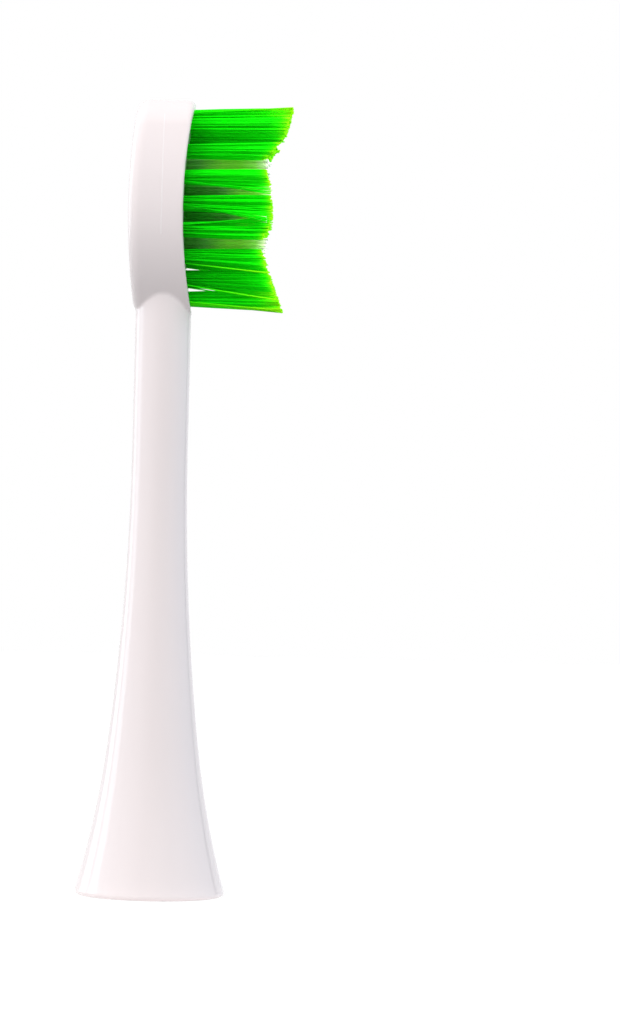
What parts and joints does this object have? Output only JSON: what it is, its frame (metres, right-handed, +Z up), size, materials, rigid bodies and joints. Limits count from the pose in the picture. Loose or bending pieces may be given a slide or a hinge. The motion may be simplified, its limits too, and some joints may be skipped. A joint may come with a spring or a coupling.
{
  "type": "electric toothbrush head",
  "caption": "Push-on brush head: flared hollow skirt with a sprung sleeve for the drive shaft, slim neck, and an oval head of bristle tufts trimmed to a wave.",
  "frame": {"origin": "middle of the skirt's base rim, in the plane of the rim", "axes": "+Z up the neck to the head, +X the way the bristles point, +Y across the head"},
  "size_m": [0.0216, 0.0162, 0.0858],
  "materials": {
    "body_plastic": "gloss",
    "sleeve_plastic": "satin",
    "spring_steel": "brushed",
    "anchor_brass": "satin",
    "green_filament": "gloss",
    "white_filament": "gloss"
  },
  "bodies": {
    "root": {"brush_body": "body_plastic", "drive_sleeve": "sleeve_plastic", "grip_spring": "spring_steel", "tuft_anchors": "anchor_brass", "tuft_centre_1": "green_filament", "tuft_centre_2": "green_filament", "tuft_centre_3": "green_filament", "tuft_centre_4": "green_filament", "tuft_centre_5": "green_filament", "tuft_centre_6": "green_filament", "tuft_centre_7": "green_filament", "tuft_inner_left_1": "white_filament", "tuft_inner_left_2": "white_filament", "tuft_inner_left_3": "white_filament", "tuft_inner_left_4": "white_filament", "tuft_inner_right_1": "white_filament", "tuft_inner_right_2": "white_filament", "tuft_inner_right_3": "white_filament", "tuft_inner_right_4": "white_filament", "tuft_rim_left_1": "green_filament", "tuft_rim_left_2": "green_filament", "tuft_rim_left_3": "green_filament", "tuft_rim_left_4": "green_filament", "tuft_rim_left_5": "green_filament", "tuft_rim_left_6": "green_filament", "tuft_rim_left_7": "green_filament", "tuft_rim_left_8": "green_filament", "tuft_rim_left_9": "green_filament", "tuft_rim_right_1": "green_filament", "tuft_rim_right_2": "green_filament", "tuft_rim_right_3": "green_filament", "tuft_rim_right_4": "green_filament", "tuft_rim_right_5": "green_filament", "tuft_rim_right_6": "green_filament", "tuft_rim_right_7": "green_filament", "tuft_rim_right_8": "green_filament", "tuft_rim_right_9": "green_filament"}
  },
  "joints": []
}
